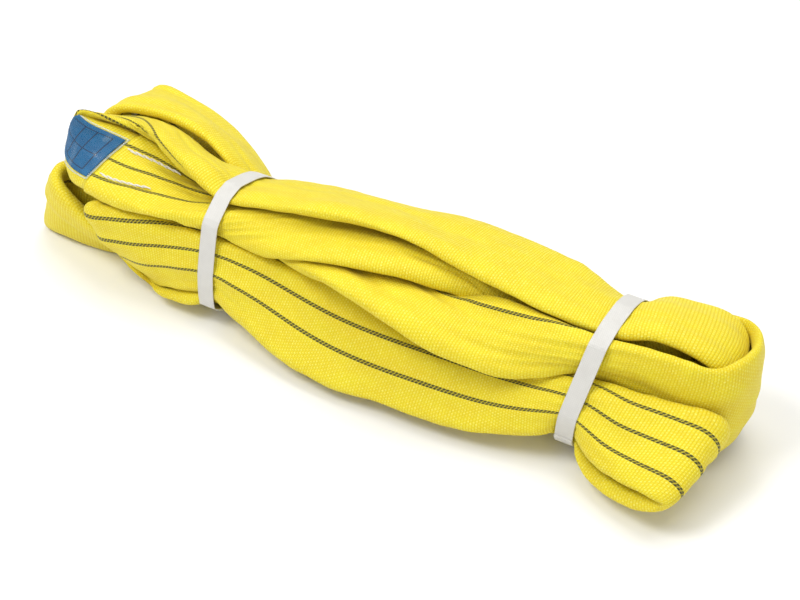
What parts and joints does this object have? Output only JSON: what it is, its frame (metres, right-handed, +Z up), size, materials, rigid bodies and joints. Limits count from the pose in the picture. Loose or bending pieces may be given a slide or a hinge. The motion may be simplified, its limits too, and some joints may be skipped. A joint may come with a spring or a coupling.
{
  "type": "round sling",
  "caption": "Endless polyester round sling folded into a hank and held by two tie bands, with a label on one turn.",
  "frame": {"origin": "middle of the hank's footprint, on the surface it lies on", "axes": "+X along the hank from the label end, -Y the front, +Z up"},
  "size_m": [0.5126, 0.141, 0.1054],
  "materials": {
    "cover": "matt woven polyester sleeve, yellow with three black marker threads",
    "core_yarn": "undyed polyester filament yarn",
    "thread": "off-white sewing thread",
    "label": "blue printed label with plain ruled lines",
    "film": "clear film",
    "tie_band": "off-white embossed polypropylene"
  },
  "bodies": {
    "root": {"cover_sleeve": "cover", "core_yarn_hank": "core_yarn", "seam_stitching_upper": "thread", "seam_stitching_lower": "thread", "identification_label": "label", "label_film_pocket": "film", "tie_band_left": "tie_band", "tie_band_right": "tie_band"}
  },
  "joints": []
}
